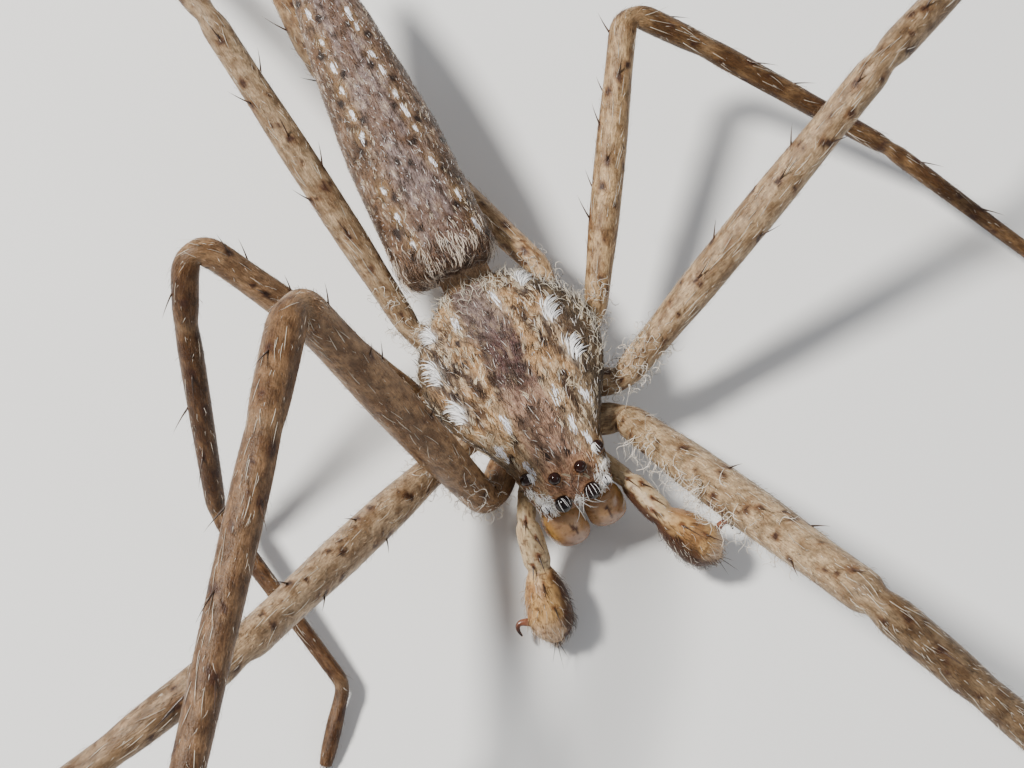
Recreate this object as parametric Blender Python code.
"""Life-size huntsman spider, standing still on eight feet.

Lengths are millimetres while a piece is shaped, and each finished mesh is scaled to metres.
The head points along -Y, the animal's left is +X, and the feet stand on z = 0.
"""

import math
import random

import bmesh
import bpy
import numpy as np
from mathutils import Matrix, Vector

# Driving sizes of the body, in its own frame: x left, y back, z up from the coxal level
CARAPACE_FRONT_Y = -3.05
CARAPACE_REAR_Y = 2.65
ABDOMEN_FRONT_Y = 3.05
ABDOMEN_LENGTH = 9.5
ABDOMEN_HALF_WIDTH = 1.26
ABDOMEN_HALF_HEIGHT = 1.08
ABDOMEN_AXIS_Z = 0.32
SPINNERET_X = -0.20
BODY_HEIGHT = 2.06
BODY_ROLL_DEG = 4.8
BODY_PITCH_DEG = 6.7

# Gaps kept between neighbouring solids
JOINT_GAP = 0.12
SOCKET_GAP = 0.05

# Lengths of femur, patella, tibia, metatarsus and tarsus of each pair of legs
LEG_LENGTHS = {
    1: (9.2, 2.9, 7.8, 7.8, 2.4),
    2: (9.3, 3.1, 8.8, 8.0, 2.4),
    3: (7.4, 2.2, 5.1, 4.9, 1.9),
    4: (8.8, 2.4, 6.6, 6.8, 2.1),
}
# Half thickness of femur, tibia, metatarsus and tarsus of each pair of legs
LEG_RADII = {
    1: (0.53, 0.41, 0.28, 0.24),
    2: (0.47, 0.38, 0.27, 0.23),
    3: (0.40, 0.31, 0.24, 0.21),
    4: (0.40, 0.31, 0.24, 0.21),
}
# Where each pair of coxae starts under the carapace and where it ends at the femur
COXA_START = {1: (1.00, -1.30), 2: (1.12, -0.40), 3: (1.10, 0.48), 4: (0.84, 1.34)}
COXA_END = {1: (1.85, -1.80), 2: (2.17, -0.80), 3: (2.28, 0.84), 4: (1.72, 2.30)}
COXA_SWING = {"right_1": -0.35, "right_2": 0.15, "left_1": 0.18}
COXA_RADII = {1: 0.41, 2: 0.38, 3: 0.37, 4: 0.37}
COXA_Z = -0.27
COXA_BEND = 0.42
KNEE_BEND = 1.3
SOLE_DEPTH = 0.035
FOOT_TIP_RADIUS = 0.17

# Pose: compass and rise angles in degrees of femur, patella and tibia, then the compass
# angles of metatarsus and tarsus, then how high the metatarsus ends above the floor
LEG_POSE = {
    "right_1": ((129.9, 63.3), (-123.0, 10.0), (-126.1, -5.0), -95.0, -93.0, 2.05),
    "right_2": ((-147.8, 40.7), (-167.6, -6.0), (-170.6, -16.0), -140.0, -132.0, 0.90),
    "right_3": ((134.0, 47.0), (-121.5, -52.0), (-110.5, -53.0), -77.8, -128.2, 0.50),
    "right_4": ((99.5, 19.5), (100.0, -8.0), (101.0, -16.0), 106.0, 107.0, 0.71),
    "left_1": ((-77.6, 37.3), (-62.1, -18.0), (-60.6, -24.0), -38.0, -35.0, 0.60),
    "left_2": ((20.3, 29.0), (23.8, -6.0), (25.2, -12.0), 13.0, 11.0, 0.90),
    "left_3": ((58.4, 15.3), (-44.0, -18.0), (-48.6, -17.3), -58.3, -54.3, 0.50),
    "left_4": ((106.5, -9.0), (89.0, -1.0), (82.0, -1.0), 78.0, 80.0, 0.50),
}

# Jaws: root and tip of each one's line by side; the right one swings inwards
JAW_LINES = {
    1: ((0.55, -2.90, -0.22), (0.56, -3.47, -1.12)),
    -1: ((-0.52, -2.90, -0.22), (-0.30, -3.57, -1.12)),
}
# Palps: lengths, half thickness and pose of femur, tibia and swollen tip
PALP_ROOT = (0.84, -2.05, -0.44)
PALP_LENGTHS = (1.08, 1.20, 1.65)
PALP_RADII = (0.24, 0.32, 0.55)
PALP_POSE = {
    "right": ((-118.0, 20.0), (-97.0, -33.0), (-101.5, -18.0)),
    "left": ((-66.0, 4.0), (-74.0, 4.0), (-54.0, -32.0)),
}

# Eyes: place of the centre and radius, each pair mirrored across the midline
EYES = {
    "front_middle": ((0.36, -2.97, 0.62), 0.200),
    "front_side": ((0.74, -2.86, 0.44), 0.135),
    "rear_middle": ((0.32, -2.42, 0.96), 0.150),
    "rear_side": ((0.89, -2.13, 0.74), 0.150),
}

SIDES = {"left": 1, "right": -1}
RING_POINTS = 10
MM = 0.001

# Outline tables of the carapace: each is (y, value)
CARAPACE_HALF_WIDTH = (
    (-3.05, 0.80), (-2.80, 0.98), (-2.30, 1.08), (-1.80, 1.20), (-1.20, 1.50),
    (-0.40, 1.96), (0.50, 2.22), (1.20, 2.12), (1.80, 1.76), (2.30, 1.24), (2.65, 0.72),
)
CARAPACE_TOP = (
    (-3.05, 0.42), (-2.92, 0.62), (-2.65, 0.86), (-2.25, 1.00), (-1.50, 1.08),
    (-0.50, 1.16), (0.60, 1.14), (1.40, 0.98), (2.00, 0.74), (2.40, 0.54), (2.65, 0.42),
)
CARAPACE_EDGE_Z = ((-3.05, 0.20), (-2.4, 0.26), (-1.4, 0.32), (0.3, 0.34), (1.6, 0.30), (2.65, 0.18))
STERNUM_HALF_WIDTH = (
    (-3.05, 0.50), (-2.20, 0.46), (-1.60, 0.62), (-0.70, 0.84), (0.30, 0.84), (1.20, 0.62),
    (2.10, 0.40), (2.65, 0.34),
)
STERNUM_Z = (
    (-3.05, -0.02), (-2.60, -0.06), (-2.10, -0.22), (-1.70, -0.52), (-1.20, -0.70),
    (0.00, -0.78), (1.20, -0.70), (2.00, -0.46), (2.65, -0.12),
)
ABDOMEN_SWELL = (
    (0.00, 0.76), (0.012, 0.89), (0.04, 0.97), (0.10, 1.00), (0.30, 0.99), (0.50, 0.89),
    (0.70, 0.72), (0.85, 0.54), (0.95, 0.38), (1.00, 0.27),
)
ABDOMEN_SIDEWAYS = ((0.00, -0.30), (0.73, -0.24), (1.00, -0.20))

# Colours and finish of the materials
COLOURS = {
    "carapace": ((0.30, 0.21, 0.14, 1.0), 0.65),
    "abdomen": ((0.32, 0.26, 0.21, 1.0), 0.75),
    "leg": ((0.50, 0.38, 0.25, 1.0), 0.60),
    "palp": ((0.55, 0.42, 0.28, 1.0), 0.60),
    "chelicera": ((0.45, 0.24, 0.09, 1.0), 0.35),
    "fang": ((0.10, 0.04, 0.02, 1.0), 0.25),
    "eye": ((0.02, 0.015, 0.012, 1.0), 0.08),
}


def material(kind):
    """The shared material of one kind of surface."""
    if kind in bpy.data.materials:
        return bpy.data.materials[kind]
    made = bpy.data.materials.new(kind)
    made.use_nodes = True
    shader = made.node_tree.nodes["Principled BSDF"]
    colour, roughness = COLOURS[kind]
    shader.inputs["Base Color"].default_value = colour
    shader.inputs["Roughness"].default_value = roughness
    shader.inputs["Metallic"].default_value = 0.0
    return made


def curve_value(table, at):
    """A smooth value read from a short table, with slopes that never overshoot it."""
    xs = np.array([row[0] for row in table])
    ys = np.array([row[1] for row in table])
    steps = np.diff(ys) / np.diff(xs)
    slopes = np.zeros(len(xs))
    slopes[0] = steps[0]
    slopes[-1] = steps[-1]
    for i in range(1, len(xs) - 1):
        if steps[i - 1] * steps[i] > 0:
            slopes[i] = 2 * steps[i - 1] * steps[i] / (steps[i - 1] + steps[i])
    i = int(np.clip(np.searchsorted(xs, at) - 1, 0, len(xs) - 2))
    width = xs[i + 1] - xs[i]
    t = min(max((at - xs[i]) / width, 0.0), 1.0)
    low = ys[i] * (1 + 2 * t) * (1 - t) ** 2 + slopes[i] * width * t * (1 - t) ** 2
    high = ys[i + 1] * t * t * (3 - 2 * t) + slopes[i + 1] * width * t * t * (t - 1)
    return float(low + high)


def direction(angles):
    """The unit vector of a compass angle and a rise, both in degrees."""
    compass = math.radians(angles[0])
    rise = math.radians(angles[1])
    flat = math.cos(rise)
    return Vector((flat * math.cos(compass), flat * math.sin(compass), math.sin(rise)))


BODY_TURN = Matrix.Rotation(math.radians(BODY_PITCH_DEG), 4, "X") @ Matrix.Rotation(
    -math.radians(BODY_ROLL_DEG), 4, "Y"
)
BODY_PLACE = Matrix.Translation((0.0, 0.0, BODY_HEIGHT)) @ BODY_TURN


def on_body(x, y, z):
    """A point of the body's own frame, as the posed body holds it."""
    return BODY_PLACE @ Vector((x, y, z))


def loft(rings):
    """A closed mesh through rings of equal count, with flat ends."""
    bm = bmesh.new()
    rows = [[bm.verts.new(point) for point in ring] for ring in rings]
    count = len(rows[0])
    for row, after in zip(rows, rows[1:]):
        for i in range(count):
            j = (i + 1) % count
            bm.faces.new((row[i], row[j], after[j], after[i]))
    bm.faces.new(list(reversed(rows[0])))
    bm.faces.new(rows[-1])
    bmesh.ops.recalc_face_normals(bm, faces=bm.faces)
    return bm


def ball(centre, radius, columns=10, rows=7, stretch=(1.0, 1.0, 1.0), turn=None):
    """A closed ball, which may be stretched along its own axes and turned."""
    bm = bmesh.new()
    bmesh.ops.create_uvsphere(bm, u_segments=columns, v_segments=rows, radius=radius)
    bmesh.ops.scale(bm, vec=stretch, verts=bm.verts)
    if turn is not None:
        bmesh.ops.transform(bm, matrix=turn, verts=bm.verts)
    bmesh.ops.translate(bm, vec=centre, verts=bm.verts)
    return bm


def cone(root, tip, radius, tip_radius=0.012, sides=4):
    """A tapered spine from its sunk root to its tip."""
    axis = tip - root
    bm = bmesh.new()
    bmesh.ops.create_cone(
        bm, cap_ends=True, segments=sides, radius1=radius, radius2=tip_radius, depth=axis.length
    )
    turn = Vector((0.0, 0.0, 1.0)).rotation_difference(axis.normalized()).to_matrix().to_4x4()
    place = Matrix.Translation((root + tip) / 2) @ turn
    bmesh.ops.transform(bm, matrix=place, verts=bm.verts)
    return bm


def sweep(path, tangents, radii, side, flat=1.0, ends=(None, None)):
    """Rings square to a path, the end rings lying in the planes of the given normals."""
    rings = []
    for index, (centre, tangent, radius) in enumerate(zip(path, tangents, radii)):
        tangent = tangent.normalized()
        across = (side - tangent * side.dot(tangent)).normalized()
        over = across.cross(tangent)
        plane = ends[0] if index == 0 else ends[1] if index == len(path) - 1 else None
        ring = []
        for step in range(RING_POINTS):
            angle = 2 * math.pi * step / RING_POINTS
            offset = across * (radius * math.cos(angle)) + over * (radius * flat * math.sin(angle))
            if plane is not None:
                offset -= tangent * (offset.dot(plane) / tangent.dot(plane))
            ring.append(centre + offset)
        rings.append(ring)
    return rings


def as_object(bm, name):
    mesh = bpy.data.meshes.new(name)
    bm.to_mesh(mesh)
    bm.free()
    made = bpy.data.objects.new(name, mesh)
    bpy.context.scene.collection.objects.link(made)
    return made


def keep_largest(bm):
    """Keeps only the largest closed surface of a mesh."""
    seen = set()
    parts = []
    for start in bm.verts:
        if start in seen:
            continue
        part = [start]
        seen.add(start)
        for vert in part:
            for edge in vert.link_edges:
                other = edge.other_vert(vert)
                if other not in seen:
                    seen.add(other)
                    part.append(other)
        parts.append(part)
    parts.sort(key=len)
    for part in parts[:-1]:
        bmesh.ops.delete(bm, geom=part, context="VERTS")


def combined(base, others, operation):
    """The base mesh after one Boolean with all the other meshes."""
    if not others:
        return base
    main = as_object(base, "base")
    group = bpy.data.collections.new("pieces")
    bpy.context.scene.collection.children.link(group)
    pieces = []
    for other in others:
        piece = as_object(other, "piece")
        bpy.context.scene.collection.objects.unlink(piece)
        group.objects.link(piece)
        pieces.append(piece)
    step = main.modifiers.new("Join", "BOOLEAN")
    step.operation = operation
    step.operand_type = "COLLECTION"
    step.collection = group
    step.solver = "EXACT"
    graph = bpy.context.evaluated_depsgraph_get()
    graph.update()
    bm = bmesh.new()
    bm.from_mesh(main.evaluated_get(graph).to_mesh())
    for piece in pieces + [main]:
        bpy.data.objects.remove(piece, do_unlink=True)
    bpy.data.collections.remove(group)
    bmesh.ops.remove_doubles(bm, verts=bm.verts, dist=1e-5)
    keep_largest(bm)
    return bm


def cut_at_floor(bm):
    """Takes off what lies under the floor and closes the cut as a flat sole."""
    geometry = bm.verts[:] + bm.edges[:] + bm.faces[:]
    bmesh.ops.bisect_plane(
        bm, geom=geometry, plane_co=(0.0, 0.0, 0.0), plane_no=(0.0, 0.0, 1.0), clear_inner=True
    )
    rim = [edge for edge in bm.edges if edge.is_boundary]
    if rim:
        bmesh.ops.contextual_create(bm, geom=rim)
    bmesh.ops.recalc_face_normals(bm, faces=bm.faces)
    return bm


def add_node(name, bm, kind, origin, parent):
    """Finishes one named piece: its origin, material, shading and parent."""
    bmesh.ops.translate(bm, vec=-origin, verts=bm.verts)
    bmesh.ops.scale(bm, vec=(MM, MM, MM), verts=bm.verts)
    made = as_object(bm, name)
    made.location = origin * MM
    made.parent = parent
    made.data.materials.append(material(kind))
    made.data.shade_smooth()
    made.data.set_sharp_from_angle(angle=math.radians(50))
    return made


# Body

def carapace_ring(y):
    """One cross section of carapace and sternum."""
    half = curve_value(CARAPACE_HALF_WIDTH, y)
    top = curve_value(CARAPACE_TOP, y)
    edge = curve_value(CARAPACE_EDGE_Z, y)
    low_half = min(curve_value(STERNUM_HALF_WIDTH, y), 0.8 * half)
    low = curve_value(STERNUM_Z, y)
    under = edge - 0.10
    points = []
    for step in range(15):
        angle = math.pi * step / 14
        lift = math.sin(angle) ** 0.85
        points.append((half * math.cos(angle), edge + (top - edge) * lift))
    left = [
        (-low_half - 0.85 * (half - low_half), under),
        (-low_half - 0.20 * (half - low_half), under - 0.01),
        (-low_half, under - 0.25 * (under - low)),
        (-low_half * 0.92, under - 0.70 * (under - low)),
        (-low_half * 0.62, low + 0.04),
        (0.0, low),
    ]
    right = [(-x, z) for x, z in reversed(left[:-1])]
    return [on_body(x, y, z) for x, z in points + left + right]


def build_cephalothorax():
    stations = np.concatenate([
        np.linspace(CARAPACE_FRONT_Y, -2.2, 7),
        np.linspace(-1.9, 2.1, 13),
        np.linspace(2.3, CARAPACE_REAR_Y, 4),
    ])
    body = loft([carapace_ring(float(y)) for y in stations])
    sockets = []
    for (x, y, z), radius in EYES.values():
        for side in SIDES.values():
            sockets.append(ball(on_body(side * x, y, z), radius + SOCKET_GAP))
    groove = ball(
        on_body(0.0, 1.0, 1.17), 0.5, stretch=(0.16, 0.9, 0.22), turn=BODY_TURN
    )
    return combined(body, sockets + [groove], "DIFFERENCE")


def build_abdomen():
    rings = []
    for share in (0.0, 0.012, 0.04, 0.10, 0.22, 0.36, 0.50, 0.63, 0.75, 0.85, 0.93, 1.0):
        swell = curve_value(ABDOMEN_SWELL, share)
        y = ABDOMEN_FRONT_Y + ABDOMEN_LENGTH * share
        ring = []
        for step in range(24):
            angle = 2 * math.pi * step / 24
            flatten = 0.90 if math.sin(angle) < 0 else 1.0
            x = curve_value(ABDOMEN_SIDEWAYS, share) + ABDOMEN_HALF_WIDTH * swell * math.cos(angle)
            z = ABDOMEN_AXIS_Z + ABDOMEN_HALF_HEIGHT * swell * flatten * math.sin(angle)
            ring.append(on_body(x, y, z))
        rings.append(ring)
    return loft(rings)


def build_pedicel():
    rings = []
    start = CARAPACE_REAR_Y + SOCKET_GAP
    end = ABDOMEN_FRONT_Y - SOCKET_GAP
    for share, half in ((0.0, 0.50), (0.5, 0.52), (1.0, 0.56)):
        y = start + (end - start) * share
        ring = []
        for step in range(RING_POINTS):
            angle = 2 * math.pi * step / RING_POINTS
            x = -0.16 * share + 1.25 * half * math.cos(angle)
            ring.append(on_body(x, y, 0.15 + 0.23 * math.sin(angle)))
        rings.append(ring)
    return loft(rings)


def build_spinnerets():
    """Three pairs of short spinning tubes on one low mound."""
    start = ABDOMEN_FRONT_Y + ABDOMEN_LENGTH + SOCKET_GAP
    mound = loft([
        [
            on_body(SPINNERET_X + half * math.cos(2 * math.pi * k / 12), start + rise,
                    ABDOMEN_AXIS_Z - 0.02 + 0.85 * half * math.sin(2 * math.pi * k / 12))
            for k in range(12)
        ]
        for half, rise in ((0.30, 0.0), (0.27, 0.12), (0.18, 0.18))
    ])
    tubes = []
    for x, z, length, radius in ((0.13, -0.08, 0.62, 0.10), (0.05, 0.0, 0.36, 0.06), (0.12, 0.12, 0.55, 0.085)):
        for side in SIDES.values():
            root = on_body(SPINNERET_X + side * x, start + 0.06, ABDOMEN_AXIS_Z + z)
            tip = on_body(SPINNERET_X + side * (x + 0.08), start + length, ABDOMEN_AXIS_Z + z - 0.05)
            tubes.append(cone(root, tip, radius, tip_radius=radius * 0.55, sides=8))
    return combined(mound, tubes, "UNION")


def build_chelicera(side):
    """One bulging jaw, hanging forward and down from under the front edge."""
    stations = (
        (0.00, 0.38, 0.28), (0.10, 0.46, 0.37), (0.30, 0.50, 0.42), (0.55, 0.49, 0.40),
        (0.78, 0.42, 0.33), (0.93, 0.30, 0.25), (1.00, 0.19, 0.16),
    )
    root, tip = (Vector(end) for end in JAW_LINES[side])
    rings = []
    for share, wide, deep in stations:
        bulge = math.sin(math.pi * share)
        centre = root.lerp(tip, share) + Vector((0.015 * side * bulge, -0.16 * bulge, 0.05 * bulge))
        ring = []
        for step in range(14):
            angle = 2 * math.pi * step / 14
            ring.append(on_body(
                centre.x + wide * math.cos(angle),
                centre.y - deep * 0.80 * math.sin(angle),
                centre.z + deep * 0.60 * math.sin(angle),
            ))
        rings.append(ring)
    return loft(rings)


def build_fang(side):
    """A curved claw folded in under the end of its jaw."""
    tip = Vector(JAW_LINES[side][1])
    rings = []
    for step in range(6):
        share = step / 5
        radius = 0.10 * (1 - share) + 0.015
        bend = math.radians(70) * share
        centre = Vector((
            tip.x - side * 0.33 * math.sin(bend),
            tip.y + 0.09 + 0.50 * share,
            -1.39 + 0.02 * share,
        ))
        ring = []
        for k in range(8):
            angle = 2 * math.pi * k / 8
            ring.append(on_body(centre.x + radius * math.cos(angle), centre.y, centre.z + radius * math.sin(angle)))
        rings.append(ring)
    return loft(rings)


def build_maxilla(side):
    """The palp's first joint beside the mouth."""
    turn = BODY_TURN @ Matrix.Rotation(math.radians(18 * side), 4, "Z")
    return ball(on_body(0.46 * side, -1.98, -0.66), 0.26, stretch=(0.85, 1.55, 0.7), turn=turn)


# Limbs

def corner(points, index, radius):
    """Start, middle and end of the rounded bend at one corner of a line of points."""
    before = (points[index] - points[index - 1]).normalized()
    after = (points[index + 1] - points[index]).normalized()
    half_turn = before.angle(after) / 2
    room = 0.60 * min((points[index] - points[index - 1]).length, (points[index + 1] - points[index]).length)
    reach = min(max(radius * math.tan(half_turn), 0.25), room)
    return points[index] - before * reach, points[index], points[index] + after * reach


def bend_point(bend, share):
    """Point and tangent on a rounded bend."""
    start, middle, end = bend
    point = start * (1 - share) ** 2 + middle * (2 * share * (1 - share)) + end * share ** 2
    tangent = (middle - start) * (1 - share) + (end - middle) * share
    return point, tangent.normalized()


def limb_path(points, first, last, radius, gap=JOINT_GAP, straight=4, bends=3):
    """Centre line of one piece of a limb between two corners, clear of its neighbours by half the gap."""
    path = []
    normals = [None, None]
    if first > 0:
        bend = corner(points, first, radius)
        shift = gap / 2 / (bend[2] - bend[0]).length
        normals[0] = bend_point(bend, 0.5)[1]
        for step in range(bends):
            path.append(bend_point(bend, 0.5 + shift + (0.5 - shift) * step / (bends - 1)))
    else:
        ahead = (points[1] - points[0]).normalized()
        path.append((points[0], ahead))
    for index in range(first, last):
        start = path[-1][0]
        ahead = (points[index + 1] - points[index]).normalized()
        if index + 1 < len(points) - 1:
            bend = corner(points, index + 1, radius)
            end = bend[0]
        else:
            end = points[index + 1]
        for step in range(1, straight + 1):
            path.append((start.lerp(end, step / (straight + 1)), ahead))
        if index + 1 == last and last < len(points) - 1:
            shift = gap / 2 / (bend[2] - bend[0]).length
            normals[1] = bend_point(bend, 0.5)[1]
            for step in range(bends):
                path.append(bend_point(bend, (0.5 - shift) * step / (bends - 1)))
        elif index + 1 == last:
            path.append((end, ahead))
        else:
            for step in range(bends):
                path.append(bend_point(bend, step / (bends - 1)))
    return [p for p, _ in path], [t for _, t in path], normals


def path_shares(path):
    """How far along the line each of its points lies, from 0 to 1."""
    runs = [0.0]
    for before, after in zip(path, path[1:]):
        runs.append(runs[-1] + (after - before).length)
    return [run / runs[-1] for run in runs]


def leg_points(name):
    """Corner points of one leg, from under the carapace to the floor."""
    side = SIDES[name.split("_")[0]]
    pair = int(name[-1])
    femur, patella, tibia, metatarsus, tarsus = LEG_LENGTHS[pair]
    femur_way, patella_way, tibia_way, metatarsus_compass, tarsus_compass, ankle = LEG_POSE[name]
    inner = on_body(side * COXA_START[pair][0], COXA_START[pair][1], COXA_Z - 0.05)
    outer_y = COXA_END[pair][1] + COXA_SWING.get(name, 0.0)
    points = [inner, on_body(side * COXA_END[pair][0], outer_y, COXA_Z)]
    points.append(points[-1] + direction(femur_way) * femur)
    points.append(points[-1] + direction(patella_way) * patella)
    points.append(points[-1] + direction(tibia_way) * tibia)
    fall = -math.degrees(math.asin((points[-1].z - ankle) / metatarsus))
    points.append(points[-1] + direction((metatarsus_compass, fall)) * metatarsus)
    fall = math.asin(ankle / tarsus)
    tip = FOOT_TIP_RADIUS * math.cos(fall) - SOLE_DEPTH
    fall = -math.degrees(math.asin((ankle - tip) / tarsus))
    points.append(points[-1] + direction((tarsus_compass, fall)) * tarsus)
    return points


def leg_side(points):
    """The hinge direction of a leg: square to the plane that its joints bend in."""
    femur = (points[2] - points[1]).normalized()
    tibia = (points[4] - points[3]).normalized()
    across = femur.cross(tibia)
    upright = femur.cross(Vector((0.0, 0.0, -1.0)))
    return (across + upright * 0.35).normalized()


def spines(path, tangents, radii, side, rows, seed, length):
    """Stout spines in loose rows along a limb, leaning towards its end."""
    draw = random.Random(seed)
    shares = path_shares(path)
    made = []
    for share, angle in rows:
        share += draw.uniform(-0.02, 0.02)
        angle = math.radians(angle + draw.uniform(-10, 10))
        i = max(k for k in range(len(shares) - 1) if shares[k] <= share)
        t = (share - shares[i]) / (shares[i + 1] - shares[i])
        centre = path[i].lerp(path[i + 1], t)
        radius = radii[i] + (radii[i + 1] - radii[i]) * t
        ahead = tangents[i].lerp(tangents[i + 1], t).normalized()
        across = (side - ahead * side.dot(ahead)).normalized()
        over = ahead.cross(across)
        out = over * math.cos(angle) + across * math.sin(angle)
        lean = math.radians(draw.uniform(40, 52))
        way = out * math.sin(lean) + ahead * math.cos(lean)
        root = centre + out * (radius * 0.55)
        tip = centre + out * (radius * 0.92) + way * (length * draw.uniform(0.85, 1.1))
        made.append(cone(root, tip, 0.075))
    return made


FEMUR_SHAPE = ((0.0, 0.70), (0.05, 0.80), (0.16, 0.86), (0.32, 0.98), (0.55, 1.0), (0.85, 0.90), (0.96, 0.90), (1.0, 0.80))
TIBIA_SHAPE = ((0.0, 0.90), (0.06, 1.08), (0.20, 1.04), (0.27, 0.94), (0.36, 1.0), (0.75, 0.92), (0.95, 0.84), (1.0, 0.74))
FOOT_SHAPE = ((0.0, 0.92), (0.05, 1.04), (0.40, 0.92), (0.72, 0.86), (0.77, 0.80), (0.86, 0.90), (0.95, 0.84), (1.0, 0.66))

# Places of the spines along each piece: share of its length and angle round it
FEMUR_SPINES = ((0.30, 10), (0.42, 62), (0.48, -58), (0.62, 4), (0.72, 66), (0.78, -60), (0.92, 20))
TIBIA_SPINES = ((0.12, 8), (0.40, 70), (0.42, -68), (0.58, 6), (0.72, 66), (0.74, -70))
FOOT_SPINES = ((0.10, 72), (0.12, -70), (0.36, 60), (0.38, -62))


def build_leg(name, parent):
    points = leg_points(name)
    pair = int(name[-1])
    side = leg_side(points)
    thick = LEG_RADII[pair]
    coxa_radius = COXA_RADII[pair]
    seed = sum(ord(letter) for letter in name)

    path, tangents, ends = limb_path(points, 0, 1, COXA_BEND, straight=2)
    radii = [coxa_radius * curve_value(((0.0, 0.86), (0.3, 1.0), (0.7, 0.98), (1.0, 0.86)), s) for s in path_shares(path)]
    rings = sweep(path, tangents, radii, side, ends=ends)
    add_node("coxa_" + name, loft(rings), "leg", points[0], parent)

    bend = KNEE_BEND * thick[0]
    path, tangents, ends = limb_path(points, 1, 2, bend)
    ends[0] = corner_normal(points, 1, COXA_BEND)
    radii = [thick[0] * curve_value(FEMUR_SHAPE, s) for s in path_shares(path)]
    base = loft(sweep(path, tangents, radii, side, ends=ends))
    bristles = spines(path, tangents, radii, side, FEMUR_SPINES, seed, 0.85)
    add_node("leg_" + name + "_femur", combined(base, bristles, "UNION"), "leg", points[1], parent)

    path, tangents, ends = limb_path(points, 2, 4, bend, straight=3)
    radii = [thick[1] * curve_value(TIBIA_SHAPE, s) for s in path_shares(path)]
    base = loft(sweep(path, tangents, radii, side, ends=ends))
    bristles = spines(path, tangents, radii, side, TIBIA_SPINES, seed + 1, 0.95)
    add_node("leg_" + name + "_tibia", combined(base, bristles, "UNION"), "leg", points[2], parent)

    path, tangents, ends = limb_path(points, 4, 6, bend, straight=3)
    radii = [thick[2] * curve_value(FOOT_SHAPE, s) for s in path_shares(path)]
    radii[-1] = FOOT_TIP_RADIUS
    base = loft(sweep(path, tangents, radii, side, ends=ends))
    bristles = spines(path, tangents, radii, side, FOOT_SPINES, seed + 2, 0.80)
    foot = combined(base, bristles, "UNION")
    add_node("leg_" + name + "_foot", cut_at_floor(foot), "leg", points[4], parent)


def corner_normal(points, index, radius):
    return bend_point(corner(points, index, radius), 0.5)[1]


def build_palp(which, parent):
    side = SIDES[which]
    root = on_body(side * PALP_ROOT[0], PALP_ROOT[1], PALP_ROOT[2])
    points = [root]
    for length, way in zip(PALP_LENGTHS, PALP_POSE[which]):
        points.append(points[-1] + direction(way) * length)
    across = (points[1] - points[0]).cross(points[2] - points[1]).normalized()
    shapes = (
        ((0.0, 0.80), (0.2, 1.0), (0.8, 1.0), (1.0, 0.85)),
        ((0.0, 0.85), (0.3, 1.0), (0.8, 1.05), (1.0, 0.80)),
        ((0.0, 0.58), (0.15, 0.76), (0.42, 0.96), (0.66, 1.0), (0.84, 0.86), (0.94, 0.64), (1.0, 0.36)),
    )
    for index, (piece, shape) in enumerate(zip(("femur", "tibia", "bulb"), shapes)):
        steps = 9 if piece == "bulb" else 4
        path, tangents, ends = limb_path(points, index, index + 1, 0.22, gap=0.08, straight=steps)
        radii = [PALP_RADII[index] * curve_value(shape, s) for s in path_shares(path)]
        bm = loft(sweep(path, tangents, radii, across, ends=ends))
        if piece == "bulb":
            outward = Vector((0.90 * side, 0.43, 0.0))
            hook_root = path[-3] + outward * 0.20
            hook_tip = path[-1] + outward * 0.84
            bm = combined(bm, [cone(hook_root, hook_tip, 0.11)], "UNION")
        add_node("palp_" + which + "_" + piece, bm, "palp", points[index], parent)


def main():
    for obj in list(bpy.data.objects):
        bpy.data.objects.remove(obj, do_unlink=True)
    root = bpy.data.objects.new("spider", None)
    bpy.context.scene.collection.objects.link(root)
    centre = on_body(0.0, 0.0, 0.0)

    add_node("cephalothorax", build_cephalothorax(), "carapace", centre, root)
    add_node("abdomen", build_abdomen(), "abdomen", on_body(0.0, ABDOMEN_FRONT_Y, 0.0), root)
    add_node("pedicel", build_pedicel(), "carapace", on_body(0.0, CARAPACE_REAR_Y, 0.0), root)
    rear = on_body(0.0, ABDOMEN_FRONT_Y + ABDOMEN_LENGTH, 0.0)
    add_node("spinnerets", build_spinnerets(), "abdomen", rear, root)
    for which, side in SIDES.items():
        jaw = on_body(0.45 * side, CARAPACE_FRONT_Y, 0.0)
        add_node("chelicera_" + which, build_chelicera(side), "chelicera", jaw, root)
        add_node("fang_" + which, build_fang(side), "fang", jaw, root)
        add_node("maxilla_" + which, build_maxilla(side), "palp", jaw, root)
        for place, ((x, y, z), radius) in EYES.items():
            spot = on_body(side * x, y, z)
            add_node("eye_" + place + "_" + which, ball(spot, radius), "eye", spot, root)
        build_palp(which, root)
    for name in LEG_POSE:
        build_leg(name, root)

    # The base of the whole animal's box is the origin
    bpy.context.view_layer.update()
    corners = [
        piece.matrix_world @ vert.co
        for piece in root.children
        for vert in piece.data.vertices
    ]
    low = [min(point[axis] for point in corners) for axis in range(3)]
    high = [max(point[axis] for point in corners) for axis in range(3)]
    root.location = (-(low[0] + high[0]) / 2, -(low[1] + high[1]) / 2, -low[2])


main()
